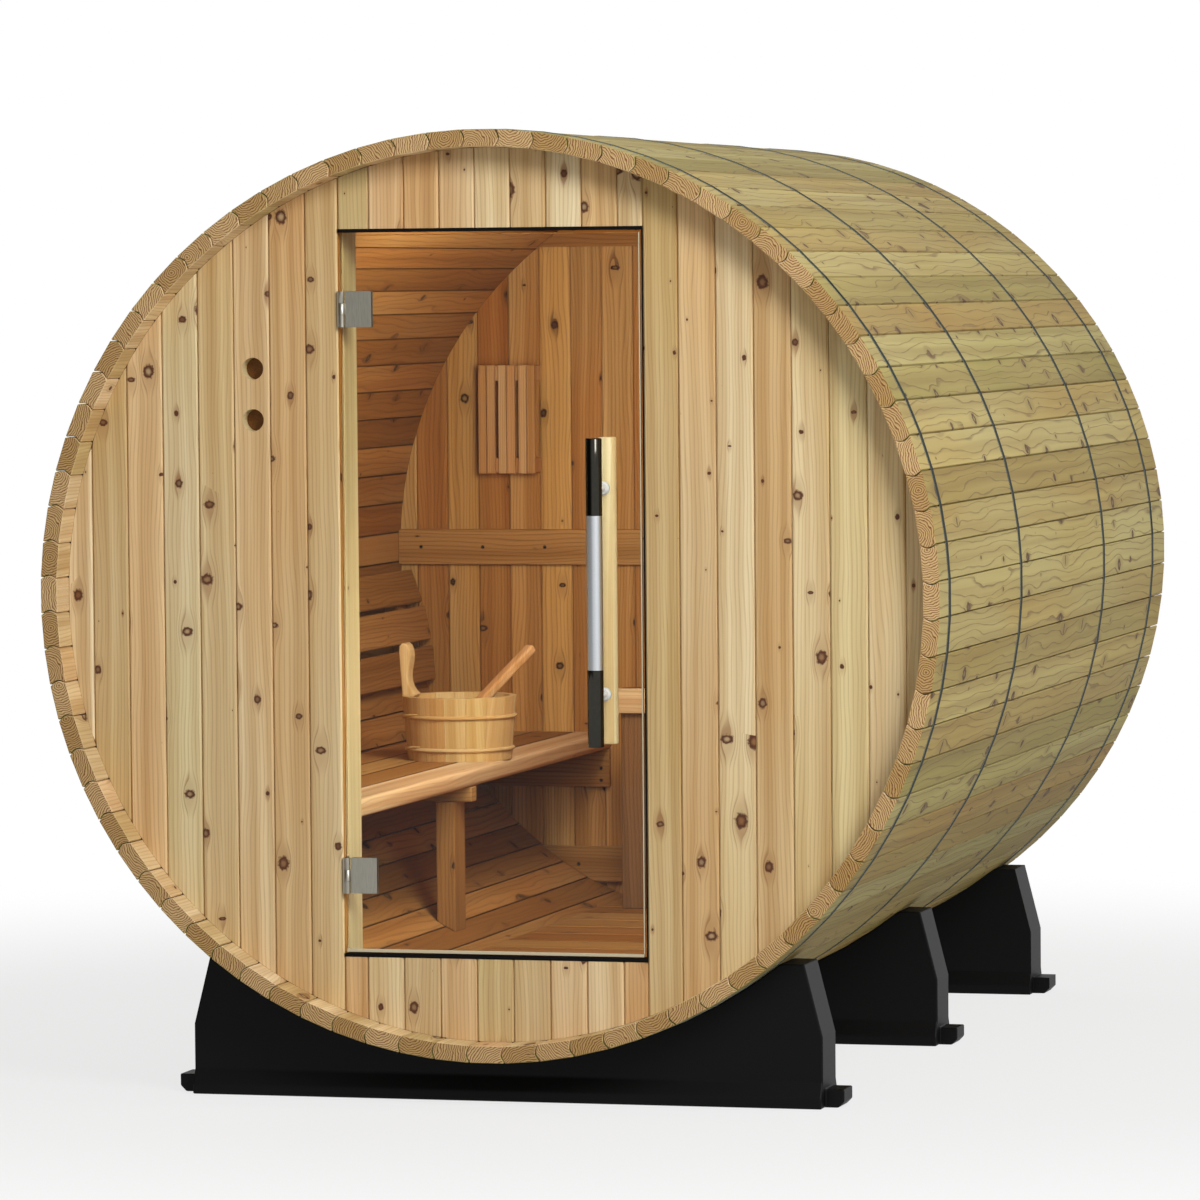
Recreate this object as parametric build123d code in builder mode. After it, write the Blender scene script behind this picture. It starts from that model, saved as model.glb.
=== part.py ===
from build123d import *
from math import cos, radians, sin, sqrt
import os

os.makedirs("parts", exist_ok=True)

# Barrel sauna lying on three cradles.
# X runs to the right seen from the front, Y runs from the front to the back, Z is up.
# The origin is on the ground, under the middle of the barrel's length.

# Barrel of staves
stave_count = 80
staves_per_panel = 8
barrel_diameter = 1829.0
barrel_length = 2438.0
stave_thickness = 34.0
barrel_ground_gap = 90.0

# Steel bands: two placed by their middles from the front rim, two from the rear rim
band_width = 19.0
band_thickness = 1.5
front_band_setback = 86.0
second_band_setback = 786.0
third_band_setback = 746.0
rear_band_setback = 156.0

# End walls, set in behind the stave ends
front_wall_inset = 70.0
rear_wall_inset = 40.0
wall_thickness = 38.0

# Doorway in the front wall
doorway_width = 622.0
sill_above_staves = 163.0
head_below_staves = 157.0
liner_side = 2.0
liner_end = 7.0

# Vent holes in the front wall
vent_diameter = 44.0
vent_from_axis = 489.0
upper_vent_above_axis = 449.0
lower_vent_above_axis = 347.0

# Glass door
glass_thickness = 8.0
glass_setback = 1.0
door_gap = 5.0

# Door hinges
hinge_height = 71.0
lower_hinge_above_sill = 162.0
upper_hinge_below_head = 158.0
hinge_pin_diameter = 6.0
hinge_pin_clearance = 0.05
knuckle_diameter = 12.0
hinge_plate_thickness = 3.0
door_leaf_reach = 60.0
wall_leaf_reach = 36.0
knuckle_clearance = 0.5

# Door handle
handle_length = 603.0
tube_diameter = 32.0
bar_diameter = 36.0
handle_above_door_middle = 7.0
handle_from_hinge_side = 537.0
spacer_diameter = 16.0
spacer_pitch = 404.0
tube_standoff = 62.0
bar_standoff = 34.0

# Doorway posts inside the front wall
post_width = 38.0
post_depth = 89.0

# Slatted grate on the curved floor
grate_half_width = 313.0
slat_width = 140.0
slat_gap = 12.0
slat_thickness = 20.0
runner_from_axis = 200.0
runner_width = 38.0
grate_end_gap = 5.0

# Bench on the left
bench_above_staves = 450.0
bench_front_from_axis = 372.0
seat_board_count = 3
seat_board_width = 89.0
seat_board_gap = 6.0
seat_thickness = 38.0
seat_edge_radius = 12.0
beam_height = 32.0
beam_width = 38.0
beam_end_setback = 2.0
front_beam_setback = 330.0
middle_beam_setback = 1199.0
leg_width = 42.0
leg_depth = 80.0
leg_end_setback = 35.0
ledger_height = 89.0
ledger_thickness = 18.0

# Backrest on the left: height over the seat, distance from the staves and tilt of each lower inner edge
backrest_boards = [(304.0, 50.0, 20.0), (216.0, 54.0, 12.0), (121.0, 33.0, 4.0)]
backrest_board_height = 80.0
backrest_board_thickness = 18.0
rear_support_setback = 2190.0

# Battens across the rear wall
batten_thickness = 18.0
batten_height = 82.0
end_batten_setback = 102.0

# Lamp shade on the rear wall: upright slats in front of two rails
shade_above_axis = 298.0
shade_from_staves = 101.0
shade_slat_count = 3
shade_slat_width = 42.0
shade_slat_gap = 5.0
shade_slat_thickness = 10.0
shade_length = 251.0
shade_depth = 60.0
shade_rail_height = 20.0

# Guard rail and its posts in front of the rear wall
guard_from_rear_wall = 350.0
guard_half_width = 285.0
guard_rail_above_staves = 522.0
guard_rail_height = 56.0
guard_rail_thickness = 20.0
guard_post_width = 56.0
guard_post_depth = 38.0
guard_post_setback = 38.0

# Bucket on the bench, with a ladle leaning in it
bucket_from_axis = 488.0
bucket_setback = 1501.0
bucket_base_diameter = 228.0
bucket_rim_diameter = 252.0
bucket_height = 140.0
bucket_wall = 14.0
bucket_handle_rise = 118.0
bucket_handle_width = 38.0
ladle_foot = (-17.0, -31.0, 20.0)
ladle_tip = (112.0, 180.0, 240.0)
ladle_width = 26.0
ladle_thickness = 12.0
ladle_cup_diameter = 56.0
ladle_cup_height = 26.0
ladle_cup_wall = 3.0
rest_clearance = 0.3

# Cradles, placed from the front rim, from the middle of the barrel and from the rear rim
cradle_width = 1294.0
cradle_depth = 114.0
cradle_side_height = 140.0
cradle_shoulder_width = 1222.0
cradle_shoulder_height = 283.0
front_cradle_setback = 130.0
middle_cradle_offset = 35.0
rear_cradle_setback = 119.0
plinth_reach = 15.0
plinth_lip = 20.0
plinth_height = 50.0
tab_reach = 38.0
tab_thickness = 36.0
tab_depth = 74.0
tab_chamfer = 12.0
band_groove_clearance = 1.0

# Sizes that follow from the ones above
front_rim = -barrel_length / 2
rear_rim = barrel_length / 2
outer_flat = barrel_diameter / 2
inner_flat = outer_flat - stave_thickness
axis_height = barrel_ground_gap + outer_flat
staves_bottom = axis_height - inner_flat
staves_top = axis_height + inner_flat
stave_angle = 360 / stave_count
outer_corner = outer_flat / cos(radians(stave_angle / 2))
inner_corner = inner_flat / cos(radians(stave_angle / 2))
band_places = [front_rim + front_band_setback, front_rim + second_band_setback,
               rear_rim - third_band_setback, rear_rim - rear_band_setback]
cradle_faces = {"cradle_front": front_rim + front_cradle_setback,
                "cradle_middle": middle_cradle_offset - cradle_depth / 2,
                "cradle_rear": rear_rim - rear_cradle_setback - cradle_depth}
front_wall_face = front_rim + front_wall_inset
front_wall_back = front_wall_face + wall_thickness
rear_wall_back = rear_rim - rear_wall_inset
rear_wall_face = rear_wall_back - wall_thickness
jamb = doorway_width / 2
doorway_sill = staves_bottom + sill_above_staves
doorway_head = staves_top - head_below_staves
glass_left = -jamb + door_gap
glass_right = jamb - liner_side - door_gap
glass_bottom = doorway_sill + liner_end + door_gap
glass_top = doorway_head - liner_end - door_gap
glass_face = front_wall_face + glass_setback
glass_back = glass_face + glass_thickness
hinge_heights = {"lower": doorway_sill + lower_hinge_above_sill, "upper": doorway_head - upper_hinge_below_head}
knuckle_radius = knuckle_diameter / 2
pin_radius = hinge_pin_diameter / 2
pin_x = -jamb + hinge_plate_thickness + knuckle_clearance + knuckle_radius
pin_y = glass_face - knuckle_clearance - knuckle_radius
handle_x = -jamb + handle_from_hinge_side
handle_middle = (doorway_sill + doorway_head) / 2 + handle_above_door_middle
bench_front = -bench_front_from_axis
bench_top = staves_bottom + bench_above_staves
seat_bottom = bench_top - seat_thickness
beam_starts = [front_rim + front_beam_setback, front_rim + middle_beam_setback]
bucket_base = (-bucket_from_axis, front_rim + bucket_setback, bench_top)


def across(y):
    """Plane across the barrel at y, seen from the front; extrude(amount=-t) goes t towards the back."""
    return Plane.XZ.offset(-y)


def seam(radius, index):
    """Corner of the stave ring at a seam, counted anticlockwise from the right-hand stave."""
    angle = radians(stave_angle * (index + 0.5))
    return (radius * cos(angle), axis_height + radius * sin(angle))


def stave_x(height):
    """Half the inner width of the barrel at a height."""
    return sqrt(inner_flat ** 2 - (height - axis_height) ** 2)


def ring_polygon(flat, mode=Mode.ADD):
    """Many-sided outline with one side for each stave, at a distance from the barrel's axis."""
    with Locations((0, axis_height)):
        RegularPolygon(flat, stave_count, major_radius=False, rotation=stave_angle / 2, mode=mode)


def box_between(low, high, mode=Mode.ADD):
    """Box given by two opposite corners."""
    size = [b - a for a, b in zip(low, high)]
    with Locations(low):
        Box(*size, align=(Align.MIN, Align.MIN, Align.MIN), mode=mode)


def upright(place, diameter, length, mode=Mode.ADD):
    """Round bar standing on a place."""
    with Locations(place):
        Cylinder(diameter / 2, length, align=(Align.CENTER, Align.CENTER, Align.MIN), mode=mode)


# Staves, in curved panels
panel_count = stave_count // staves_per_panel
for panel in range(panel_count):
    first = panel * staves_per_panel
    seams = range(first, first + staves_per_panel + 1)
    outline = [seam(outer_corner, i) for i in seams] + [seam(inner_corner, i) for i in reversed(seams)]
    with BuildPart() as stave_panel:
        with BuildSketch(across(front_rim)):
            with BuildLine():
                Polyline(*outline, close=True)
            make_face()
        extrude(amount=-barrel_length)
    stave_panel.part.label = f"stave_panel_{panel + 1:02d}"
    export_step(stave_panel.part, f"parts/{stave_panel.part.label}.step")

# Steel bands
for number, place in enumerate(band_places, start=1):
    with BuildPart() as band:
        with BuildSketch(across(place - band_width / 2)):
            ring_polygon(outer_flat + band_thickness)
            ring_polygon(outer_flat, mode=Mode.SUBTRACT)
        extrude(amount=-band_width)
    band.part.label = f"steel_band_{number}"
    export_step(band.part, f"parts/{band.part.label}.step")

# Cradles: a saddle under the barrel on a bevelled plinth, with a tab at each end
for name, face in cradle_faces.items():
    half = cradle_width / 2
    shoulder = cradle_shoulder_width / 2
    with BuildPart() as cradle:
        with BuildSketch(across(face)):
            with BuildLine():
                Polyline((-half, 0), (half, 0), (half, cradle_side_height), (shoulder, cradle_shoulder_height),
                         (-shoulder, cradle_shoulder_height), (-half, cradle_side_height), close=True)
            make_face()
        extrude(amount=-cradle_depth)
        with BuildSketch(Plane.YZ.offset(-half)):
            with BuildLine():
                Polyline((face - plinth_reach, 0), (face + cradle_depth + plinth_reach, 0),
                         (face + cradle_depth + plinth_reach, plinth_lip), (face + cradle_depth, plinth_height),
                         (face, plinth_height), (face - plinth_reach, plinth_lip), close=True)
            make_face()
        extrude(amount=cradle_width)
        tab_end = half + tab_reach
        with BuildSketch(across(face + (cradle_depth - tab_depth) / 2)):
            with BuildLine():
                Polyline((-tab_end + tab_chamfer, 0), (tab_end - tab_chamfer, 0), (tab_end, tab_chamfer),
                         (tab_end, tab_thickness), (-tab_end, tab_thickness), (-tab_end, tab_chamfer), close=True)
            make_face()
        extrude(amount=-tab_depth)
        with BuildSketch(across(face)):
            ring_polygon(outer_flat)
        extrude(amount=-cradle_depth, mode=Mode.SUBTRACT)
        for place in band_places:
            if face < place < face + cradle_depth:
                groove_width = band_width + 2 * band_groove_clearance
                with BuildSketch(across(place - groove_width / 2)):
                    ring_polygon(outer_flat + band_thickness)
                extrude(amount=-groove_width, mode=Mode.SUBTRACT)
    cradle.part.label = name
    export_step(cradle.part, f"parts/{name}.step")


def inside_ring(face, low, high, thickness, holes=(), hole_diameter=vent_diameter):
    """Board or wall behind a plane, between two corners of the front view, cut to the curve of the staves."""
    with BuildPart() as piece:
        with BuildSketch(across(face)):
            ring_polygon(inner_flat)
            with Locations(((low[0] + high[0]) / 2, (low[1] + high[1]) / 2)):
                Rectangle(high[0] - low[0], high[1] - low[1], mode=Mode.INTERSECT)
            for hole in holes:
                with Locations(hole):
                    Circle(hole_diameter / 2, mode=Mode.SUBTRACT)
        extrude(amount=-thickness)
    return piece.part


# Front wall beside, over and under the doorway
vents = [(-vent_from_axis, axis_height + rise) for rise in (upper_vent_above_axis, lower_vent_above_axis)]
wall_left = -inner_corner
wall_right = inner_corner
wall_bottom = axis_height - inner_corner
wall_top = axis_height + inner_corner
front_wall_pieces = {
    "front_wall_left": inside_ring(front_wall_face, (wall_left, wall_bottom), (-jamb, wall_top),
                                   wall_thickness, vents),
    "front_wall_right": inside_ring(front_wall_face, (jamb, wall_bottom), (wall_right, wall_top),
                                    wall_thickness),
    "front_wall_head": inside_ring(front_wall_face, (-jamb, doorway_head), (jamb, wall_top), wall_thickness),
    "front_wall_sill": inside_ring(front_wall_face, (-jamb, wall_bottom), (jamb, doorway_sill),
                                   wall_thickness),
}
for name, piece in front_wall_pieces.items():
    piece.label = name
    export_step(piece, f"parts/{name}.step")

# Rear wall
rear_wall = inside_ring(rear_wall_face, (wall_left, wall_bottom), (wall_right, wall_top), wall_thickness)
rear_wall.label = "rear_wall"
export_step(rear_wall, "parts/rear_wall.step")

# Black liner over, under and on the closing side of the doorway; the hinge side is bare wood
with BuildPart() as doorway_liner:
    box_between((-jamb, front_wall_face, doorway_sill), (jamb, front_wall_back, doorway_head))
    box_between((-jamb, front_wall_face, doorway_sill + liner_end),
                (jamb - liner_side, front_wall_back, doorway_head - liner_end), mode=Mode.SUBTRACT)
doorway_liner.part.label = "doorway_liner"
export_step(doorway_liner.part, "parts/doorway_liner.step")

# Posts inside the front wall, one each side of the doorway
for name, near, far in (("doorway_post_left", -jamb - post_width, -jamb),
                        ("doorway_post_right", jamb, jamb + post_width)):
    post = inside_ring(front_wall_back, (near, wall_bottom), (far, wall_top), post_depth)
    post.label = name
    export_step(post, f"parts/{name}.step")

# Glass door
with BuildPart() as door_glass:
    box_between((glass_left, glass_face, glass_bottom), (glass_right, glass_back, glass_top))
door_glass.part.label = "door_glass"
export_step(door_glass.part, "parts/door_glass.step")

# Hinges: the wall leaf carries the outer knuckles and the pin, the door leaf the middle one
for place, height in hinge_heights.items():
    low = height - hinge_height / 2
    knuckle_length = hinge_height / 3
    with BuildPart() as wall_leaf:
        box_between((-jamb, pin_y, low), (-jamb + hinge_plate_thickness, pin_y + wall_leaf_reach,
                    low + hinge_height))
        for start in (low, low + 2 * knuckle_length):
            box_between((-jamb, pin_y, start), (pin_x, pin_y + hinge_plate_thickness, start + knuckle_length))
            upright((pin_x, pin_y, start), knuckle_diameter, knuckle_length)
        upright((pin_x, pin_y, low), hinge_pin_diameter, hinge_height)
    wall_leaf.part.label = f"hinge_wall_leaf_{place}"
    export_step(wall_leaf.part, f"parts/{wall_leaf.part.label}.step")
    middle_low = low + knuckle_length + knuckle_clearance
    middle_high = low + 2 * knuckle_length - knuckle_clearance
    plate_start = pin_x + knuckle_radius + knuckle_clearance
    plate_end = pin_x + door_leaf_reach
    with BuildPart() as door_leaf:
        upright((pin_x, pin_y, middle_low), knuckle_diameter, middle_high - middle_low)
        box_between((pin_x, glass_face - hinge_plate_thickness, middle_low), (plate_end, glass_face, middle_high))
        box_between((plate_start, glass_face - hinge_plate_thickness, low),
                    (plate_end, glass_face, low + hinge_height))
        upright((pin_x, pin_y, low), hinge_pin_diameter + 2 * hinge_pin_clearance, hinge_height,
                mode=Mode.SUBTRACT)
        box_between((plate_start, glass_back, low), (plate_end, glass_back + hinge_plate_thickness,
                    low + hinge_height))
    door_leaf.part.label = f"hinge_door_leaf_{place}"
    export_step(door_leaf.part, f"parts/{door_leaf.part.label}.step")

# Handle: steel tube outside, wooden bar inside, spacers to the glass
handle_low = handle_middle - handle_length / 2
tube_y = glass_face - tube_standoff
bar_y = glass_back + bar_standoff
with BuildPart() as handle_tube:
    upright((handle_x, tube_y, handle_low), tube_diameter, handle_length)
handle_tube.part.label = "handle_tube"
export_step(handle_tube.part, "parts/handle_tube.step")
with BuildPart() as handle_bar:
    upright((handle_x, bar_y, handle_low), bar_diameter, handle_length)
handle_bar.part.label = "handle_bar"
export_step(handle_bar.part, "parts/handle_bar.step")
with BuildPart() as handle_spacers:
    for height in (handle_middle - spacer_pitch / 2, handle_middle + spacer_pitch / 2):
        with BuildSketch(across(glass_back)):
            with Locations((handle_x, height)):
                Circle(spacer_diameter / 2)
        extrude(amount=-(bar_y - glass_back))
        with BuildSketch(across(tube_y)):
            with Locations((handle_x, height)):
                Circle(spacer_diameter / 2)
        extrude(amount=-(glass_face - tube_y))
    upright((handle_x, tube_y, handle_low), tube_diameter, handle_length, mode=Mode.SUBTRACT)
    upright((handle_x, bar_y, handle_low), bar_diameter, handle_length, mode=Mode.SUBTRACT)
handle_spacers.part.label = "handle_spacers"
export_step(handle_spacers.part, "parts/handle_spacers.step")

# Grate on the curved floor: slats across on two lengthwise runners
slat_bottom = axis_height - sqrt(inner_flat ** 2 - grate_half_width ** 2)
slat_top = slat_bottom + slat_thickness
grate_start = front_wall_back + post_depth + grate_end_gap
grate_end = rear_wall_face - batten_thickness - grate_end_gap
slat_pitch = slat_width + slat_gap
slat_count = int((grate_end - grate_start + slat_gap) // slat_pitch)
grate_length = slat_count * slat_pitch - slat_gap
with BuildPart() as floor_grate:
    with BuildSketch(across(grate_start)):
        ring_polygon(inner_flat)
        with Locations((-runner_from_axis, slat_bottom), (runner_from_axis, slat_bottom)):
            Rectangle(runner_width, 2 * (slat_bottom - staves_bottom), mode=Mode.INTERSECT)
        with Locations((0, slat_bottom)):
            Rectangle(2 * grate_half_width, slat_bottom, align=(Align.CENTER, Align.MIN), mode=Mode.SUBTRACT)
    extrude(amount=-grate_length)
    for number in range(slat_count):
        start = grate_start + number * slat_pitch
        box_between((-grate_half_width, start, slat_bottom), (grate_half_width, start + slat_width, slat_top))
floor_grate.part.label = "floor_grate"
export_step(floor_grate.part, "parts/floor_grate.step")

# Bench: a front board with rounded edges, and gapped boards behind it up to the staves
room_length = rear_wall_face - front_wall_back
seat_pitch = seat_board_width + seat_board_gap
with BuildPart() as bench_front_board:
    box_between((bench_front - seat_board_width, front_wall_back, seat_bottom),
                (bench_front, rear_wall_face, bench_top))
    front_edges = bench_front_board.edges().filter_by(Axis.Y).group_by(Axis.X)[-1]
    fillet(front_edges, radius=seat_edge_radius)
bench_front_board.part.label = "bench_front_board"
export_step(bench_front_board.part, "parts/bench_front_board.step")
with BuildPart() as bench_seat:
    with BuildSketch(across(front_wall_back)):
        for number in range(1, seat_board_count + 1):
            with Locations((bench_front - number * seat_pitch, seat_bottom)):
                Rectangle(seat_board_width, seat_thickness, align=(Align.MAX, Align.MIN))
        ring_polygon(inner_flat, mode=Mode.INTERSECT)
    extrude(amount=-room_length)
bench_seat.part.label = "bench_seat"
export_step(bench_seat.part, "parts/bench_seat.step")

# Beams across under the seat, with legs under them that stand on the staves
beam_bottom = seat_bottom - beam_height
beam_end = bench_front - beam_end_setback
leg_right = bench_front - leg_end_setback
with BuildPart() as bench_beams:
    for start in beam_starts:
        with BuildSketch(across(start)):
            with Locations((beam_end, beam_bottom)):
                Rectangle(inner_flat - bench_front_from_axis, beam_height, align=(Align.MAX, Align.MIN))
            ring_polygon(inner_flat, mode=Mode.INTERSECT)
        extrude(amount=-beam_width)
bench_beams.part.label = "bench_beams"
export_step(bench_beams.part, "parts/bench_beams.step")
with BuildPart() as bench_legs:
    for start in beam_starts:
        with BuildSketch(across(start + (beam_width - leg_depth) / 2)):
            with Locations((leg_right, beam_bottom)):
                Rectangle(leg_width, beam_bottom - staves_bottom, align=(Align.MAX, Align.MAX))
            ring_polygon(inner_flat, mode=Mode.INTERSECT)
        extrude(amount=-leg_depth)
bench_legs.part.label = "bench_legs"
export_step(bench_legs.part, "parts/bench_legs.step")

# Ledgers that carry the ends of the bench on the two end walls
ledger_low = (wall_left, seat_bottom - ledger_height)
ledger_high = (bench_front - beam_end_setback, seat_bottom)
for name, face in (("bench_ledger_front", front_wall_back),
                   ("bench_ledger_rear", rear_wall_face - ledger_thickness)):
    ledger = inside_ring(face, ledger_low, ledger_high, ledger_thickness)
    ledger.label = name
    export_step(ledger, f"parts/{name}.step")


def backrest_corners(rise, standoff, tilt):
    """Corners of a backrest board seen from the front: inner foot, back foot, back top and inner top."""
    lean = radians(tilt)
    across_board = (-backrest_board_thickness * cos(lean), -backrest_board_thickness * sin(lean))
    up_board = (-backrest_board_height * sin(lean), backrest_board_height * cos(lean))
    height = bench_top + rise
    inner_foot = (standoff - stave_x(height), height)
    back_foot = (inner_foot[0] + across_board[0], inner_foot[1] + across_board[1])
    back_top = (back_foot[0] + up_board[0], back_foot[1] + up_board[1])
    inner_top = (inner_foot[0] + up_board[0], inner_foot[1] + up_board[1])
    return inner_foot, back_foot, back_top, inner_top


# Backrest boards, and upright supports between their backs and the staves
boards = [backrest_corners(*board) for board in backrest_boards]
with BuildPart() as backrest:
    with BuildSketch(across(front_wall_back)):
        for corners in boards:
            with BuildLine():
                Polyline(*corners, close=True)
            make_face()
    extrude(amount=-(room_length - batten_thickness))
backrest.part.label = "backrest"
export_step(backrest.part, "parts/backrest.step")
board_backs = [point for corners in reversed(boards) for point in corners[1:3]]
with BuildPart() as backrest_supports:
    for start in beam_starts + [front_rim + rear_support_setback]:
        with BuildSketch(across(start)):
            with BuildLine():
                Polyline(*board_backs, (-inner_corner, board_backs[-1][1]), (-inner_corner, board_backs[0][1]),
                         close=True)
            make_face()
            ring_polygon(inner_flat, mode=Mode.INTERSECT)
        extrude(amount=-beam_width)
backrest_supports.part.label = "backrest_supports"
export_step(backrest_supports.part, "parts/backrest_supports.step")

# Battens across the rear wall, at the axis and near the top and bottom
batten_heights = {"rear_batten_bottom": staves_bottom + end_batten_setback + batten_height / 2,
                  "rear_batten_middle": axis_height,
                  "rear_batten_top": staves_top - end_batten_setback - batten_height / 2}
for name, height in batten_heights.items():
    batten = inside_ring(rear_wall_face - batten_thickness, (wall_left, height - batten_height / 2),
                         (wall_right, height + batten_height / 2), batten_thickness)
    batten.label = name
    export_step(batten, f"parts/{name}.step")

# Lamp shade on the rear wall
shade_width = shade_slat_count * (shade_slat_width + shade_slat_gap) - shade_slat_gap
shade_middle = axis_height + shade_above_axis
shade_left = shade_from_staves - stave_x(shade_middle + shade_length / 2)
shade_low = shade_middle - shade_length / 2
with BuildPart() as lamp_shade:
    for number in range(shade_slat_count):
        left = shade_left + number * (shade_slat_width + shade_slat_gap)
        box_between((left, rear_wall_face - shade_depth, shade_low),
                    (left + shade_slat_width, rear_wall_face - shade_depth + shade_slat_thickness,
                     shade_low + shade_length))
    for low in (shade_low, shade_low + shade_length - shade_rail_height):
        box_between((shade_left, rear_wall_face - shade_depth + shade_slat_thickness, low),
                    (shade_left + shade_width, rear_wall_face, low + shade_rail_height))
lamp_shade.part.label = "lamp_shade"
export_step(lamp_shade.part, "parts/lamp_shade.step")

# Guard rail in front of the rear wall, on two posts that stand on the floor grate
guard_back = rear_wall_face - guard_from_rear_wall
rail_top = staves_bottom + guard_rail_above_staves + guard_rail_height
with BuildPart() as guard_rail:
    box_between((-guard_half_width, guard_back - guard_post_depth - guard_rail_thickness,
                 rail_top - guard_rail_height),
                (guard_half_width, guard_back - guard_post_depth, rail_top))
guard_rail.part.label = "guard_rail"
export_step(guard_rail.part, "parts/guard_rail.step")
for name, left in (("guard_post_left", -guard_half_width + guard_post_setback),
                   ("guard_post_right", guard_half_width - guard_post_setback - guard_post_width)):
    with BuildPart() as guard_post:
        box_between((left, guard_back - guard_post_depth, slat_top),
                    (left + guard_post_width, guard_back, rail_top))
    guard_post.part.label = name
    export_step(guard_post.part, f"parts/{name}.step")

# Bucket on the bench, with one stave carried up as its handle
base_radius = bucket_base_diameter / 2
rim_radius = bucket_rim_diameter / 2
with BuildPart() as bucket:
    with BuildSketch(Plane(origin=bucket_base, x_dir=(1, 0, 0), z_dir=(0, -1, 0))):
        with BuildLine():
            Polyline((0, 0), (base_radius, 0), (rim_radius, bucket_height),
                     (rim_radius - bucket_wall, bucket_height), (base_radius - bucket_wall, bucket_wall),
                     (0, bucket_wall), close=True)
        make_face()
    revolve(axis=Axis(bucket_base, (0, 0, 1)))
    with Locations((bucket_base[0] - rim_radius + bucket_wall / 2, bucket_base[1], bench_top + bucket_height)):
        Box(bucket_wall, bucket_handle_width, bucket_handle_rise, align=(Align.CENTER, Align.CENTER, Align.MIN))
bucket.part.label = "bucket"
export_step(bucket.part, "parts/bucket.step")

# Ladle: a cup on the bucket's bottom and a flat stick that leans over the rim
ladle_start = Vector(*bucket_base) + Vector(*ladle_foot)
lean = Vector(*ladle_tip) - Vector(*ladle_foot)
cup_place = (ladle_start.X, ladle_start.Y, bench_top + bucket_wall + rest_clearance)
with BuildPart() as ladle:
    upright(cup_place, ladle_cup_diameter, ladle_cup_height)
    with Locations((cup_place[0], cup_place[1], cup_place[2] + ladle_cup_wall)):
        Cylinder(ladle_cup_diameter / 2 - ladle_cup_wall, ladle_cup_height,
                 align=(Align.CENTER, Align.CENTER, Align.MIN), mode=Mode.SUBTRACT)
    with BuildSketch(Plane(origin=ladle_start, x_dir=(lean.Y, -lean.X, 0), z_dir=lean)):
        Rectangle(ladle_width, ladle_thickness)
    extrude(amount=lean.length)
ladle.part.label = "ladle"
export_step(ladle.part, "parts/ladle.step")
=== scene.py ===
from math import acos, atan2, cos, floor, pi, radians, sin, tan, tau

import bmesh
import bpy
from mathutils import Matrix, Vector


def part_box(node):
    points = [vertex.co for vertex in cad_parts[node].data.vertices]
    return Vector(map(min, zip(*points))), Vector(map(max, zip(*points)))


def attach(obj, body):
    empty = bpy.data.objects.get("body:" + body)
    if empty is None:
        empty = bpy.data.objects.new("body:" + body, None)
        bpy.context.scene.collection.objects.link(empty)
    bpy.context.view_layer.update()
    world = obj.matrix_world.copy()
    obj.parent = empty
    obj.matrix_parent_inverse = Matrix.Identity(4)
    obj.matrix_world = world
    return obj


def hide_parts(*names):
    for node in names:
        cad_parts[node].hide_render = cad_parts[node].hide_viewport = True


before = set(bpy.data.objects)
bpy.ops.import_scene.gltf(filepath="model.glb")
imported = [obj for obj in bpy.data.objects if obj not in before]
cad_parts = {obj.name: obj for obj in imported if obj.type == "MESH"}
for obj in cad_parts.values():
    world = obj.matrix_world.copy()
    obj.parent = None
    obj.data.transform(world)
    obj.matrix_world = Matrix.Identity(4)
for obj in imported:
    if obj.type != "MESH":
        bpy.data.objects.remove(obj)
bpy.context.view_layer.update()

scene = bpy.context.scene
scene.view_settings.view_transform = "Standard"

# Sizes of the barrel, in metres, from the frame
BARREL_LOW, BARREL_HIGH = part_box("stave_panel_01")
FRONT_RIM = BARREL_LOW.y
REAR_RIM = BARREL_HIGH.y
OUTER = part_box("stave_panel_03")[1].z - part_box("stave_panel_08")[0].z
OUTER_RADIUS = OUTER / 2
AXIS_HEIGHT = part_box("stave_panel_08")[0].z + OUTER_RADIUS
STAVES_IN_PANEL = 8
PANELS = 10
STAVE_STEP = tau / (STAVES_IN_PANEL * PANELS)
WALL_LOW, WALL_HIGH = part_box("rear_wall")
INNER_RADIUS = (WALL_HIGH.z - WALL_LOW.z) / 2
BOARD = 0.075
VENT_RADIUS = 0.022
# Turns a round form made along Z so that it points at the front
TO_FRONT = Matrix.Rotation(radians(90), 4, "X")


# Materials

def linear(code):
    """Linear colour of an sRGB hex value."""
    parts = [int(code[i:i + 2], 16) / 255 for i in (1, 3, 5)]
    return tuple(p / 12.92 if p <= 0.04045 else ((p + 0.055) / 1.055) ** 2.4 for p in parts) + (1.0,)


def add(tree, kind, inputs=None, **settings):
    """Adds a node with its settings, and sets or links its inputs."""
    node = tree.nodes.new(kind)
    for name, value in settings.items():
        setattr(node, name, value)
    for key, value in (inputs or {}).items():
        if isinstance(value, bpy.types.Node):
            value = value.outputs[0]
        if isinstance(value, bpy.types.NodeSocket):
            tree.links.new(value, node.inputs[key])
        else:
            node.inputs[key].default_value = value
    return node


def new_material(name):
    """Empty node material with its tree, shader and output."""
    material = bpy.data.materials.new(name)
    material.use_nodes = True
    tree = material.node_tree
    tree.nodes.clear()
    output = add(tree, "ShaderNodeOutputMaterial")
    shader = add(tree, "ShaderNodeBsdfPrincipled")
    tree.links.new(shader.outputs[0], output.inputs["Surface"])
    return material, tree, shader


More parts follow.
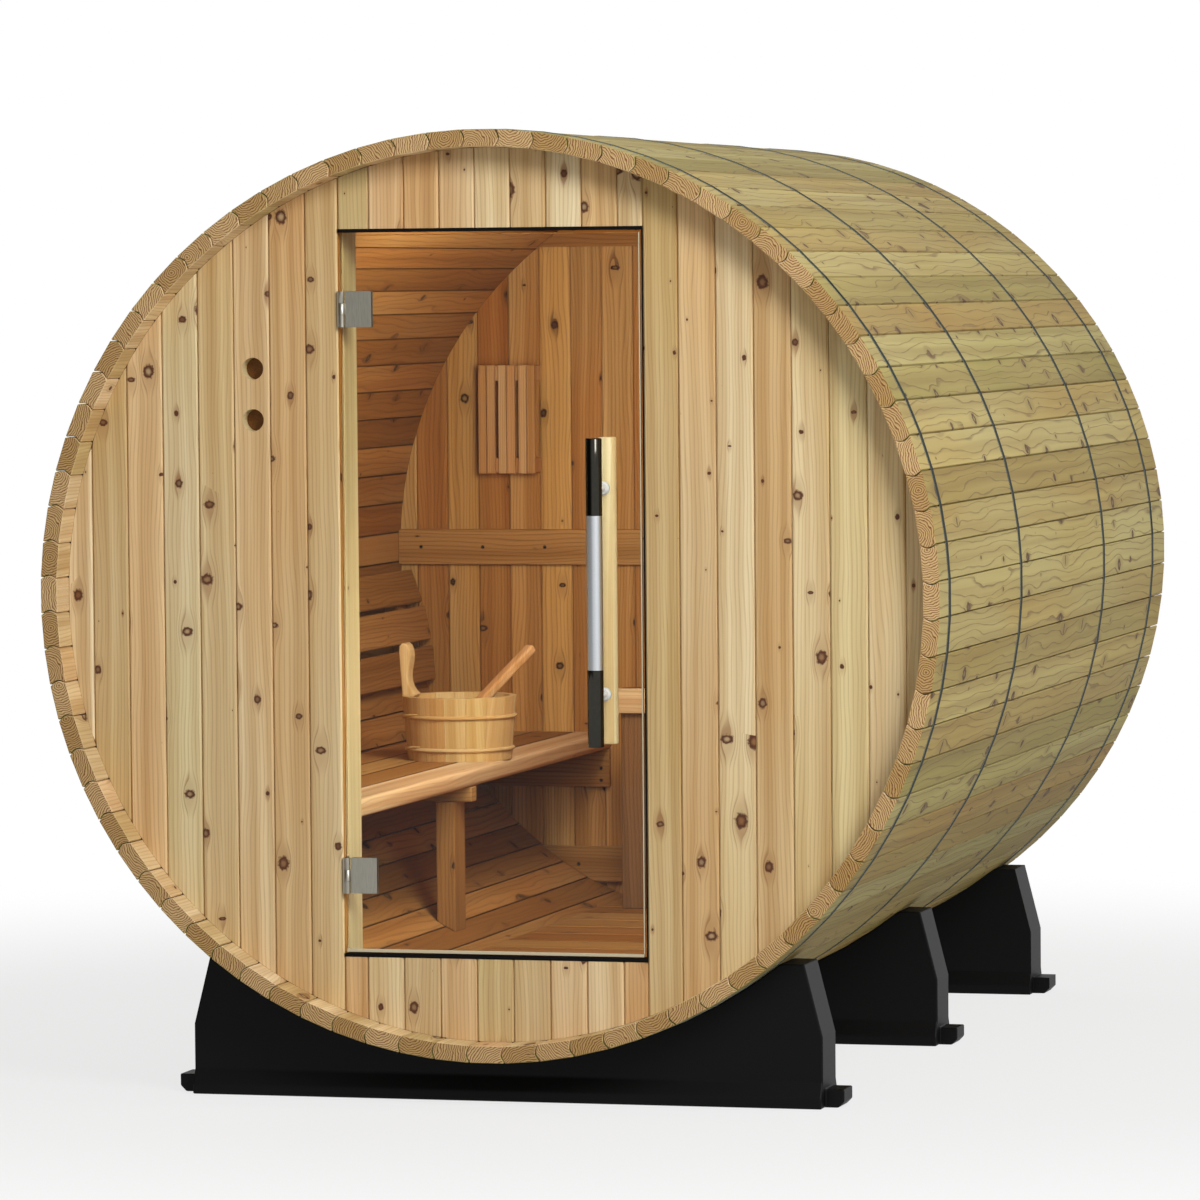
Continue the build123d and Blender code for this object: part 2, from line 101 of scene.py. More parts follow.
def cedar(name, pale, dark, line, knot, tone, cool="#f6f4e6", warm="#fbe6d6", stripe_mm=26.0, ring_mm=9.0,
          curl=1.5, line_share=0.35, line_start=0.45, knot_mm=8.0, knot_share=0.7, knot_every_mm=280.0,
          slash=1.5, roughness=0.6, relief_mm=0.25):
    """Planed cedar: soft stripes and thin growth lines along each board, which part round dark knots."""
    material, tree, shader = new_material(name)
    shader.inputs["Roughness"].default_value = roughness
    shader.inputs["Specular IOR Level"].default_value = 0.3
    place = add(tree, "ShaderNodeUVMap", uv_map="grain")
    along, across, _ = add(tree, "ShaderNodeSeparateXYZ", {0: place}).outputs
    board = add(tree, "ShaderNodeAttribute", attribute_name="board").outputs["Fac"]
    seed = add(tree, "ShaderNodeMath", {0: board, 1: 61.0}, operation="MULTIPLY")
    hue = add(tree, "ShaderNodeMath", {0: seed}, operation="FRACT")

    # Knots, at most one in each length of a board, some of them cut lengthwise into a short dark slash
    cell = (knot_every_mm / 1000, BOARD, 1.0)
    in_cells = add(tree, "ShaderNodeVectorMath", {0: place, 1: cell}, operation="DIVIDE")
    shifted = add(tree, "ShaderNodeVectorMath", {0: in_cells, 1: seed}, operation="ADD")
    cells = add(tree, "ShaderNodeTexVoronoi", {"Vector": shifted, "Scale": 1.0, "Randomness": 0.9},
                voronoi_dimensions="2D")
    from_knot = add(tree, "ShaderNodeVectorMath", {0: shifted, 1: cells.outputs["Position"]},
                    operation="SUBTRACT")
    offset = add(tree, "ShaderNodeVectorMath", {0: from_knot, 1: cell}, operation="MULTIPLY")
    off_along, off_across, _ = add(tree, "ShaderNodeSeparateXYZ", {0: offset}).outputs
    odds = add(tree, "ShaderNodeSeparateColor", {0: cells.outputs["Color"]})
    narrow = add(tree, "ShaderNodeMapRange", {"Value": odds.outputs[1], "From Min": 0.45, "From Max": 0.95,
                                              "To Min": 0.8, "To Max": slash})
    squeezed = add(tree, "ShaderNodeMath", {0: off_along, 1: narrow}, operation="MULTIPLY")
    flat = add(tree, "ShaderNodeCombineXYZ", {0: squeezed, 1: off_across})
    distance = add(tree, "ShaderNodeVectorMath", {0: flat}, operation="LENGTH").outputs["Value"]
    ragged = add(tree, "ShaderNodeTexNoise", {"Vector": place, "Scale": 160.0, "Detail": 2.0})
    ragged_share = add(tree, "ShaderNodeMath", {0: ragged, 1: 0.9, 2: 0.55}, operation="MULTIPLY_ADD")
    rough_distance = add(tree, "ShaderNodeMath", {0: distance, 1: ragged_share}, operation="MULTIPLY")
    size = add(tree, "ShaderNodeMapRange", {"Value": odds.outputs[0], "From Min": 1 - knot_share,
                                            "From Max": 1.0})
    small_mostly = add(tree, "ShaderNodeMath", {0: size, 1: 1.7}, operation="POWER")
    radius = add(tree, "ShaderNodeMath", {0: small_mostly, 1: knot_mm / 1000}, operation="MULTIPLY")
    real_radius = add(tree, "ShaderNodeMath", {0: radius, 1: 0.0001}, operation="MAXIMUM")
    ratio = add(tree, "ShaderNodeMath", {0: rough_distance, 1: real_radius}, operation="DIVIDE")
    disc = add(tree, "ShaderNodeMapRange", {"Value": ratio, "From Min": 0.85, "From Max": 1.3, "To Min": 1.0,
                                            "To Max": 0.0}, interpolation_type="SMOOTHSTEP")
    heart_share = add(tree, "ShaderNodeMapRange",
                      {"Value": radius, "From Min": knot_mm / 2500, "From Max": knot_mm / 1100, "To Min": 0.0,
                       "To Max": 0.75})
    heart = add(tree, "ShaderNodeMapRange", {"Value": ratio, "From Min": 0.2, "From Max": 0.75,
                                             "To Min": heart_share, "To Max": 0.0},
                interpolation_type="SMOOTHSTEP")
    drawn_out = add(tree, "ShaderNodeMath", {0: off_along, 1: 0.45}, operation="MULTIPLY")
    round_knot = add(tree, "ShaderNodeCombineXYZ", {0: drawn_out, 1: off_across})
    reach = add(tree, "ShaderNodeVectorMath", {0: round_knot}, operation="LENGTH").outputs["Value"]
    reach_ratio = add(tree, "ShaderNodeMath", {0: reach, 1: real_radius}, operation="DIVIDE")
    halo = add(tree, "ShaderNodeMapRange", {"Value": reach_ratio, "From Min": 0.7, "From Max": 2.6,
                                            "To Min": 1.0, "To Max": 0.0}, interpolation_type="SMOOTHSTEP")

    # Grain that wanders slowly along the board and parts round the knots
    slow_along = add(tree, "ShaderNodeMath", {0: along, 1: 1.3}, operation="MULTIPLY")
    slow_across = add(tree, "ShaderNodeMath", {0: across, 1: 5.0}, operation="MULTIPLY")
    slow = add(tree, "ShaderNodeCombineXYZ", {0: slow_along, 1: slow_across, 2: seed})
    wander = add(tree, "ShaderNodeTexNoise", {"Vector": slow, "Scale": 1.0, "Detail": 1.0})
    parted = add(tree, "ShaderNodeMath", {0: off_across, 1: halo}, operation="MULTIPLY")
    drifted = add(tree, "ShaderNodeMath", {0: wander, 1: 0.03, 2: across}, operation="MULTIPLY_ADD")
    bent = add(tree, "ShaderNodeMath", {0: drifted, 1: parted}, operation="SUBTRACT")
    stripe_along = add(tree, "ShaderNodeMath", {0: along, 1: 0.5}, operation="MULTIPLY")
    stripe_across = add(tree, "ShaderNodeMath", {0: bent, 1: 1000 / stripe_mm}, operation="MULTIPLY")
    stripe_at = add(tree, "ShaderNodeCombineXYZ", {0: stripe_along, 1: stripe_across, 2: seed})
    stripes = add(tree, "ShaderNodeTexNoise", {"Vector": stripe_at, "Scale": 1.0, "Detail": 3.0})
    stripe_share = add(tree, "ShaderNodeMapRange", {"Value": stripes, "From Min": 0.32, "From Max": 0.68})

    # Growth lines: each darkens slowly and ends sharply
    curl_along = add(tree, "ShaderNodeMath", {0: along, 1: 3.0}, operation="MULTIPLY")
    curl_across = add(tree, "ShaderNodeMath", {0: bent, 1: 16.0}, operation="MULTIPLY")
    curl_at = add(tree, "ShaderNodeCombineXYZ", {0: curl_along, 1: curl_across, 2: seed})
    curls = add(tree, "ShaderNodeTexNoise", {"Vector": curl_at, "Scale": 1.0, "Detail": 1.7})
    curl_rings = add(tree, "ShaderNodeMath", {0: curls, 1: curl * 4}, operation="MULTIPLY")
    ring_field = add(tree, "ShaderNodeMath", {0: bent, 1: 1000 / ring_mm, 2: curl_rings},
                     operation="MULTIPLY_ADD")
    ring = add(tree, "ShaderNodeMath", {0: ring_field}, operation="FRACT")
    ring_line = add(tree, "ShaderNodeMapRange", {"Value": ring, "From Min": line_start, "From Max": 0.98},
                    interpolation_type="SMOOTHSTEP")
    fibre_along = add(tree, "ShaderNodeMath", {0: along, 1: 9.0}, operation="MULTIPLY")
    fibre_across = add(tree, "ShaderNodeMath", {0: bent, 1: 520.0}, operation="MULTIPLY")
    fibre_at = add(tree, "ShaderNodeCombineXYZ", {0: fibre_along, 1: fibre_across, 2: seed})
    fibre = add(tree, "ShaderNodeTexNoise", {"Vector": fibre_at, "Scale": 1.0, "Detail": 2.0})
    patchy = add(tree, "ShaderNodeMath", {0: ring_line, 1: fibre}, operation="MULTIPLY")
    near_knot = add(tree, "ShaderNodeMath", {0: halo, 1: line_share * 2, 2: line_share * 2},
                    operation="MULTIPLY_ADD")
    line_factor = add(tree, "ShaderNodeMath", {0: patchy, 1: near_knot}, operation="MULTIPLY",
                      use_clamp=True)

    # Colours laid over each other: stripes, tone and tint of the board, growth lines, knots
    wood = add(tree, "ShaderNodeMix", {"Factor": stripe_share, "A": linear(dark), "B": linear(pale)},
               data_type="RGBA")
    toned = add(tree, "ShaderNodeMix", {"Factor": board, "A": wood.outputs["Result"], "B": linear(tone)},
                data_type="RGBA", blend_type="MULTIPLY")
    tint = add(tree, "ShaderNodeMix", {"Factor": hue, "A": linear(cool), "B": linear(warm)},
               data_type="RGBA")
    patch = add(tree, "ShaderNodeMapRange", {"Value": wander, "From Min": 0.35, "From Max": 0.62,
                                             "To Min": 0.25, "To Max": 1.0})
    tinted = add(tree, "ShaderNodeMix", {"Factor": patch, "A": toned.outputs["Result"],
                                         "B": tint.outputs["Result"]},
                 data_type="RGBA", blend_type="MULTIPLY")
    lined = add(tree, "ShaderNodeMix", {"Factor": line_factor, "A": tinted.outputs["Result"],
                                        "B": linear(line)}, data_type="RGBA")
    warmth = add(tree, "ShaderNodeMath", {0: halo, 1: 0.28}, operation="MULTIPLY")
    warmed = add(tree, "ShaderNodeMix", {"Factor": warmth, "A": lined.outputs["Result"], "B": linear(line)},
                 data_type="RGBA")
    knotted = add(tree, "ShaderNodeMix", {"Factor": disc, "A": warmed.outputs["Result"], "B": linear(knot)},
                  data_type="RGBA")
    heart_colour = add(tree, "ShaderNodeMix", {"Factor": odds.outputs[2], "A": linear(line),
                                               "B": linear(dark)}, data_type="RGBA")
    hearted = add(tree, "ShaderNodeMix", {"Factor": heart, "A": knotted.outputs["Result"],
                                          "B": heart_colour.outputs["Result"]}, data_type="RGBA")
    tree.links.new(hearted.outputs["Result"], shader.inputs["Base Color"])

    # Fine pores along the grain catch the light
    pore_at = add(tree, "ShaderNodeVectorMath", {0: place, 1: (12.0, 420.0, 1.0)}, operation="MULTIPLY")
    pores = add(tree, "ShaderNodeTexNoise", {"Vector": pore_at, "Scale": 1.0, "Detail": 1.0})
    bump = add(tree, "ShaderNodeBump", {"Height": pores, "Distance": relief_mm / 1000, "Strength": 0.5})
    tree.links.new(bump.outputs[0], shader.inputs["Normal"])
    return material


def end_grain(name, pale, dark, ring_mm=4.5):
    """Sawn end of a stave: matt, with growth rings round a middle of its own and faint saw marks."""
    material, tree, shader = new_material(name)
    shader.inputs["Roughness"].default_value = 0.9
    shader.inputs["Specular IOR Level"].default_value = 0.2
    place = add(tree, "ShaderNodeUVMap", uv_map="grain")
    board = add(tree, "ShaderNodeAttribute", attribute_name="board").outputs["Fac"]
    uneven = add(tree, "ShaderNodeTexNoise", {"Vector": place, "Scale": 45.0, "Detail": 2.0})
    distance = add(tree, "ShaderNodeVectorMath", {0: place}, operation="LENGTH").outputs["Value"]
    waved = add(tree, "ShaderNodeMath", {0: uneven, 1: 0.014, 2: distance}, operation="MULTIPLY_ADD")
    rings = add(tree, "ShaderNodeMath", {0: waved, 1: 1000 / ring_mm}, operation="MULTIPLY")
    ring = add(tree, "ShaderNodeMath", {0: rings}, operation="FRACT")
    ring_line = add(tree, "ShaderNodeMapRange", {"Value": ring, "From Min": 0.3, "From Max": 0.95},
                    interpolation_type="SMOOTHSTEP")
    saw_marks = add(tree, "ShaderNodeTexNoise", {"Vector": place, "Scale": 420.0, "Detail": 2.0})
    marked = add(tree, "ShaderNodeMath", {0: saw_marks, 1: 0.45}, operation="ADD")
    share = add(tree, "ShaderNodeMath", {0: ring_line, 1: marked}, operation="MULTIPLY")
    colour = add(tree, "ShaderNodeMix", {"Factor": share, "A": linear(pale), "B": linear(dark)},
                 data_type="RGBA")
    toned = add(tree, "ShaderNodeMix", {"Factor": board, "A": colour.outputs["Result"],
                                        "B": linear("#d8cdb4")}, data_type="RGBA", blend_type="MULTIPLY")
    tree.links.new(toned.outputs["Result"], shader.inputs["Base Color"])
    bump = add(tree, "ShaderNodeBump", {"Height": saw_marks, "Distance": 0.0004, "Strength": 0.5})
    tree.links.new(bump.outputs[0], shader.inputs["Normal"])
    return material


def fine_surface(name, pale, dark, roughness, metallic=0.0, specular=0.5, grit_mm=1.5, height_mm=0.05,
                 stretch=(1, 1, 1)):
    """Metal, polymer or rubber: two near tones in fine specks, with a faint relief."""
    material, tree, shader = new_material(name)
    shader.inputs["Roughness"].default_value = roughness
    shader.inputs["Metallic"].default_value = metallic
    shader.inputs["Specular IOR Level"].default_value = specular
    place = add(tree, "ShaderNodeTexCoord").outputs["Object"]
    drawn = add(tree, "ShaderNodeMapping", {"Vector": place, "Scale": stretch})
    specks = add(tree, "ShaderNodeTexNoise", {"Vector": drawn, "Scale": 1000 / grit_mm, "Detail": 3.0})
    colour = add(tree, "ShaderNodeMix", {"Factor": specks, "A": linear(dark), "B": linear(pale)},
                 data_type="RGBA")
    tree.links.new(colour.outputs["Result"], shader.inputs["Base Color"])
    bump = add(tree, "ShaderNodeBump", {"Height": specks, "Distance": height_mm / 1000, "Strength": 0.5})
    tree.links.new(bump.outputs[0], shader.inputs["Normal"])
    return material


def clear_glass(name):
    """Tempered clear glass: a thin pane that hardly bends light, with weak sharp reflections."""
    material, tree, shader = new_material(name)
    shader.inputs["Base Color"].default_value = linear("#f4f8f4")
    shader.inputs["Roughness"].default_value = 0.0
    shader.inputs["IOR"].default_value = 1.2
    shader.inputs["Transmission Weight"].default_value = 1.0
    through = add(tree, "ShaderNodeBsdfTransparent", {"Color": linear("#f4f8f4")})
    shadow = add(tree, "ShaderNodeLightPath").outputs["Is Shadow Ray"]
    mix = add(tree, "ShaderNodeMixShader", {0: shadow, 1: shader, 2: through})
    output = next(n for n in tree.nodes if n.type == "OUTPUT_MATERIAL")
    tree.links.new(mix.outputs[0], output.inputs["Surface"])
    return material


# Outside of the barrel: weathered to an olive tan, with sparse wavy lines that circle broad knots
STAVE_OUTSIDE = cedar("cedar planed weathered olive", "#c0b47c", "#a49462", "#6a5230", "#4a2c14", "#d8ccac",
                      "#eef4e0", "#ffeace", stripe_mm=30, ring_mm=19, curl=1.0, line_share=0.62,
                      line_start=0.78, knot_mm=13, knot_share=0.95, knot_every_mm=200, slash=3.0,
                      roughness=0.7)
# Inside of the barrel: sheltered, warm brown, its staves far apart in tone
STAVE_INSIDE = cedar("cedar planed warm brown", "#c89a5a", "#ac8048", "#5a3012", "#2c150a", "#b89a70",
                     "#fff0d0", "#f8dcc0", stripe_mm=30, ring_mm=15, curl=1.0, line_share=0.38,
                     line_start=0.6, knot_mm=12, knot_share=0.9, knot_every_mm=200, slash=3.0)
# Edges of the staves inside, and long sides of the bench's seat boards: painted shade, darker so that each
# seam draws a line
SEAM_PAINTED_SHADE = cedar("cedar seams painted shade", "#7a5228", "#5e3c1c", "#3a200c", "#2c150a", "#dcc8a8")
# Stave ends: tan and orange, with the saw's dull surface
STAVE_END = end_grain("cedar sawn end grain", "#d2b482", "#7c4522")
# Front wall: honey coloured, with soft pale, greenish and pinkish boards and many ringed knots
WALL_OUTSIDE = cedar("cedar planed honey", "#eedcb6", "#ccb084", "#8c5e36", "#552f1a", "#eae0cc",
                     "#f2f5e2", "#ffe8d6", stripe_mm=24, ring_mm=8, curl=0.9, line_share=0.3,
                     line_start=0.55, knot_mm=12, knot_share=0.9, knot_every_mm=160, slash=1.8)
# Walls and lining seen through the glass: orange brown, sheltered from the sun
WALL_INSIDE = cedar("cedar planed orange brown", "#d6ae70", "#b68a4e", "#5e3616", "#3a1c0c", "#ccb088",
                    "#fff0d0", "#fcdcc4", stripe_mm=22, ring_mm=9, curl=1.0, line_share=0.36, line_start=0.5,
                    knot_mm=12, knot_share=0.8, knot_every_mm=200, slash=2.0)
# Bench, battens and backrest: the same cedar, darker and without the pale boards
FITTING = cedar("cedar planed russet", "#c09256", "#a2763e", "#562f10", "#331a0b", "#ccb088",
                stripe_mm=24, ring_mm=9, curl=1.0, line_share=0.42, line_start=0.55, knot_mm=9,
                knot_share=0.6, slash=2.5)
# Guard posts: dark brown, a painted shade
POST_PAINTED_SHADE = cedar("cedar planed painted shade dark brown", "#8e6640", "#6e4a2a", "#3c200c", "#2c150a", "#d8c4a8",
                  stripe_mm=24, ring_mm=9, curl=1.0, line_share=0.4, line_start=0.55, knot_mm=7,
                  knot_share=0.5)
# Front edge of the bench: pale, a painted highlight along its rounded edge; the guard's top rail takes the
# same pale wood
PALE_WOOD_AND_HIGHLIGHT = cedar("cedar planed pale and painted highlight", "#ecd6ac", "#c8a272", "#946440", "#5a3420", "#f0dcc4",
                stripe_mm=28, ring_mm=9, curl=0.7, line_share=0.3, knot_mm=5, knot_share=0.3)
# Doorway posts: fresh, straw coloured and straight in the grain
PALE_POST = cedar("cedar planed pale straw", "#dcc89c", "#bfa374", "#94723e", "#7a5a2c", "#ece0c4",
                  stripe_mm=18, ring_mm=6, curl=0.6, line_share=0.25, knot_mm=6, knot_share=0.3)
# Bucket: smooth pale pine with close straight lines
PINE = cedar("pine smooth pale", "#d8be8c", "#c29e64", "#a8783c", "#8c5a2b", "#f2e6cc", stripe_mm=12,
             ring_mm=5, curl=0.6, line_share=0.22, knot_mm=2, knot_share=0.1, roughness=0.5)
# Lamp shade, ladle and rail: golden pine with a stronger line
SLAT_PINE = cedar("pine planed golden", "#dcb482", "#c2945c", "#84522a", "#5a3216", "#e2ccac", stripe_mm=12,
                  ring_mm=5, curl=0.8, line_share=0.34, knot_mm=5, knot_share=0.4)
# Inner handle: close-grained maple, sanded smooth
HARDWOOD = cedar("maple sanded smooth", "#eedcbc", "#dcc49c", "#bc9c6a", "#a88a55", "#f4ecd8", stripe_mm=10,
                 ring_mm=4, curl=0.5, line_share=0.15, knot_mm=1, knot_share=0.05, roughness=0.45)
# Bands: coated strip, nearly black green with a dull shine, cut edges left bright
BAND_STEEL = fine_surface("steel strip coated dark green", "#18211c", "#0d1310", 0.6, 0.0, 0.1, 4.0, 0.1)
BAND_EDGE = fine_surface("steel strip cut edge", "#a3aca6", "#848d88", 0.4, 0.7, 0.5, 2.0, 0.02)
# Cradles: moulded polypropylene, deep black, satin, faintly pebbled
POLYMER = fine_surface("polypropylene moulded black", "#0b0b0c", "#060606", 0.5, 0.0, 0.12, 2.5, 0.15)
# Vent screens: woven bronze wire, drawn coarser than it is so that it shows as dark brown specks
MESH = fine_surface("bronze wire woven", "#8e5c26", "#3a240e", 0.6, 0.2, 0.3, 3.0, 0.3)
# Doorway seal: black rubber, dull
RUBBER = fine_surface("rubber seal black", "#0d0d0d", "#060606", 0.75, 0.0, 0.1)
# Seals on the glass: cream vinyl with a soft shine
VINYL = fine_surface("vinyl seal cream", "#cfc4a6", "#b8ac8c", 0.4, 0.0, 0.4)
# Hinges: brushed stainless steel, its fine scratches upright
HINGE_STEEL = fine_surface("stainless steel brushed", "#b0ac9e", "#827f76", 0.36, 1.0, 0.5, 0.8, 0.02,
                           (1, 1, 0.04))
# Handle tube: ends polished, their dark base colour a painted dark reflection; middle brushed satin round the
# tube
POLISHED_PAINTED_DARK_REFLECTION = fine_surface("stainless steel polished painted dark reflection", "#42403a", "#302e2a", 0.07, 1.0, 0.5, 5.0, 0.0)
SATIN = fine_surface("stainless steel satin", "#d0d3d6", "#b4b7ba", 0.34, 1.0, 0.5, 0.8, 0.01, (0.05, 1, 1))
# Spacers and screws: white nylon, slightly shiny, and darkened steel
WASHER = fine_surface("nylon washer white", "#e8e6e0", "#cfccc4", 0.4)
SCREW = fine_surface("steel screw dark", "#3c3028", "#241c16", 0.5, 0.6)
# Door: clear tempered glass
GLASS = clear_glass("glass tempered clear")


# Making pieces

def finish_piece(name, bm, materials, body, nodes=(), grain=None, key=None, curved=False):
    """Turns a bmesh into a piece that rides a body, with its grain laid along an axis."""
    mesh = bpy.data.meshes.new(name)
    bm.to_mesh(mesh)
    bm.free()
    for material in materials:
        mesh.materials.append(material)
    piece = bpy.data.objects.new(name, mesh)
    scene.collection.objects.link(piece)
    if grain is not None:
        lay_grain(mesh, grain, sum(map(ord, name)), key, curved)
    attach(piece, body)
    if nodes:
        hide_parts(*nodes)
    return piece


def chance(number):
    """Number from 0 to 1, the same each run and far apart for neighbours."""
    return (number * 0.618034 + 0.2 * sin(number * 12.9898)) % 1.0


def lay_grain(mesh, grain, first, key=None, curved=False):
    """UV map in metres, along and across the grain, and a number from 0 to 1 for each board."""
    layer = mesh.uv_layers.new(name="grain")
    number = mesh.attributes.new("board", "FLOAT", "FACE")
    boards = None if key else board_numbers(mesh)
    others = [axis for axis in range(3) if axis != grain]
    pith_reach = (0.08, 0.05)
    for face in mesh.polygons:
        board = first + (key(face.center) if key else boards[face.index])
        number.data[face.index].value = chance(board)
        normal, middle = face.normal, face.center
        if abs(normal[grain]) > 0.8:
            ring_middle = (middle[others[0]] + pith_reach[0] * (2 * chance(board * 3) - 1),
                           middle[others[1]] + pith_reach[1] * (2 * chance(board * 5) - 1))
            for loop in face.loop_indices:
                point = mesh.vertices[mesh.loops[loop].vertex_index].co
                layer.data[loop].uv = (point[others[0]] - ring_middle[0], point[others[1]] - ring_middle[1])
            continue
        sideways = others[1] if abs(normal[others[0]]) > abs(normal[others[1]]) + 0.01 else others[0]
        for loop in face.loop_indices:
            point = mesh.vertices[mesh.loops[loop].vertex_index].co
            across = atan2(point.z - AXIS_HEIGHT, point.x) * OUTER_RADIUS if curved else point[sideways]
            layer.data[loop].uv = (point[grain], across)


def board_numbers(mesh):
    """Number of the separate board that each face belongs to, counted by place and so the same each run."""
    bm = bmesh.new()
    bm.from_mesh(mesh)
    bm.faces.ensure_lookup_table()
    boards = []
    seen = set()
    for start in bm.faces:
        if start.index in seen:
            continue
        seen.add(start.index)
        faces, stack = [], [start]
        while stack:
            face = stack.pop()
            faces.append(face)
            for neighbour in (other for edge in face.edges for other in edge.link_faces):
                if neighbour.index not in seen:
                    seen.add(neighbour.index)
                    stack.append(neighbour)
        points = [v.co for face in faces for v in face.verts]
        low = [min(point[axis] for point in points) for axis in range(3)]
        high = [max(point[axis] for point in points) for axis in range(3)]
        depth_first = [round(low[1] - high[1], 3)]
        boards.append((depth_first + [round(low[axis] + high[axis], 3) for axis in (0, 2, 1)], faces))
    numbers = [0] * len(bm.faces)
    for number, (_, faces) in enumerate(sorted(boards, key=lambda board: board[0])):
        for face in faces:
            numbers[face.index] = number
    bm.free()
    return numbers


def node_mesh(node):
    """Copy of a CAD node's mesh, merged into flat faces."""
    bm = bmesh.new()
    bm.from_mesh(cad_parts[node].data)
    bmesh.ops.remove_doubles(bm, verts=bm.verts, dist=1e-5)
    bmesh.ops.dissolve_limit(bm, angle_limit=radians(0.5), verts=bm.verts, edges=bm.edges)
    return bm


def bevel(bm, edges, width, segments, clamp=False):
    """Cuts edges back by a width, flat with one segment and round with more."""
    bmesh.ops.bevel(bm, geom=edges, offset=width, offset_type="OFFSET", affect="EDGES", segments=segments,
                    profile=0.5, material=-1, clamp_overlap=clamp)


def ease_edges(bm, width, segments=2, angle=30):
    """Rounds the edges that turn by more than an angle."""
    sharp = [e for e in bm.edges if len(e.link_faces) == 2 and e.calc_face_angle(0) > radians(angle)]
    bevel(bm, sharp, width, segments, True)


def prism(bm, outline, start, end):
    """Solid with a front-view outline of (x, z) points, from one y to another."""
    verts = [bm.verts.new((x, start, z)) for x, z in outline]
    face = bm.faces.new(verts)
    grown = bmesh.ops.extrude_face_region(bm, geom=[face], use_keep_orig=True)
    moved = [v for v in grown["geom"] if isinstance(v, bmesh.types.BMVert)]
    bmesh.ops.translate(bm, vec=(0, end - start, 0), verts=moved)
    faces = {f for v in verts + moved for f in v.link_faces}
    bmesh.ops.recalc_face_normals(bm, faces=list(faces))


def block(bm, low, high, ease=0.0):
    """Box between two corners, with eased edges."""
    low, high = Vector(low), Vector(high)
    made = bmesh.ops.create_cube(bm, size=1.0, matrix=Matrix.Translation((low + high) / 2)
                                 @ Matrix.Diagonal((*(high - low), 1.0)))
    if ease:
        bevel(bm, list({e for v in made["verts"] for e in v.link_edges}), ease, 2)


def disc(bm, place, back_radius, front_radius, depth, segments):
    """Round disc that faces the front."""
    bmesh.ops.create_cone(bm, cap_ends=True, segments=segments, radius1=back_radius, radius2=front_radius,
                          depth=depth, matrix=Matrix.Translation(place) @ TO_FRONT)


def cedar_node(name, node, grain, material, ease=0.0025, key=None):
    """Wooden CAD node with eased edges and its grain along an axis."""
    bm = node_mesh(node)
    ease_edges(bm, ease)
    finish_piece(name, bm, [material], "cabin", [node], grain, key)


def screw_heads(name, places, front):
    """Dark countersunk heads, set flush in a board that faces the front."""
    bm = bmesh.new()
    for x, z in places:
        disc(bm, (x, front, z), 0.0036, 0.0044, 0.002, 16)
    ease_edges(bm, 0.0004, 1, 60)
    finish_piece(name, bm, [SCREW], "cabin")


# Barrel

def stave_outline(middle):
    """Front-view outline of a stave: a round bead on one edge, a hollow cove on the other, eased edges."""
    slope = tan(STAVE_STEP / 2)
    thickness = OUTER_RADIUS - INNER_RADIUS
    bulge, gap, inner_ease, outer_ease, steps = 0.006, 0.0010, 0.0022, 0.0024, 8

    def edge(side):
        points = [(INNER_RADIUS, side * (INNER_RADIUS * slope - inner_ease))]
        for step in range(steps + 1):
            share = step / steps
            out = INNER_RADIUS + inner_ease + share * (thickness - inner_ease - outer_ease)
            points.append((out, side * (out * slope - gap) - bulge * sin(pi * share)))
        points.append((OUTER_RADIUS, side * (OUTER_RADIUS * slope - outer_ease)))
        return points

    outline = edge(1) + edge(-1)[::-1]
    return [(out * cos(middle) - along * sin(middle), AXIS_HEIGHT + out * sin(middle) + along * cos(middle))
            for out, along in outline]


def stave_panel(panel):
    """Eight staves, each cut by itself, with eased ends."""
    bm = bmesh.new()
    for step in range(STAVES_IN_PANEL):
        middle = (panel * STAVES_IN_PANEL + step + 1) * STAVE_STEP
        prism(bm, stave_outline(middle), FRONT_RIM, REAR_RIM)
    rims = [e for e in bm.edges if sum(abs(f.normal.y) > 0.5 for f in e.link_faces) == 1]
    bevel(bm, rims, 0.0012, 1)
    front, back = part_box("front_wall_left")[0].y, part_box("rear_wall")[1].y
    weathered_from = INNER_RADIUS + 0.018
    for place in (front, back):
        bmesh.ops.bisect_plane(bm, geom=bm.verts[:] + bm.edges[:] + bm.faces[:], plane_co=(0, place, 0),
                               plane_no=(0, 1, 0))
    for face in bm.faces:
        centre = face.calc_center_median()
        out = Vector((centre.x, 0, centre.z - AXIS_HEIGHT))
        if abs(face.normal.y) > 0.8:
            face.material_index = 2
        elif out.length > weathered_from:
            face.material_index = 0
        elif front < centre.y < back:
            # Inner edge faces of the staves take painted shade, so each seam shows dark
            face.material_index = 1 if abs(face.normal.dot(out.normalized())) > 0.9 else 4
        else:
            face.material_index = 3
    looks = [STAVE_OUTSIDE, STAVE_INSIDE, STAVE_END, WALL_OUTSIDE, SEAM_PAINTED_SHADE]
    finish_piece(f"staves_{panel + 1:02d}", bm, looks, "cabin",
                 [f"stave_panel_{panel + 1:02d}"], 1, curved=True)


def bands():
    """Coated steel bands round the barrel."""
    for number in range(1, 5):
        node = f"steel_band_{number}"
        bm = node_mesh(node)
        ease_edges(bm, 0.0003, 1, 60)
        for face in bm.faces:
            face.material_index = 1 if abs(face.normal.y) > 0.8 else 0
        finish_piece(f"band_{number}", bm, [BAND_STEEL, BAND_EDGE], "cabin", [node])


def cradles():
    """Moulded black cradles with eased edges."""
    for place in ("front", "middle", "rear"):
        node = f"cradle_{place}"
        bm = node_mesh(node)
        ease_edges(bm, 0.003, 3, 25)
        finish_piece(f"cradle_{place}_moulding", bm, [POLYMER], "cabin", [node])


# End walls

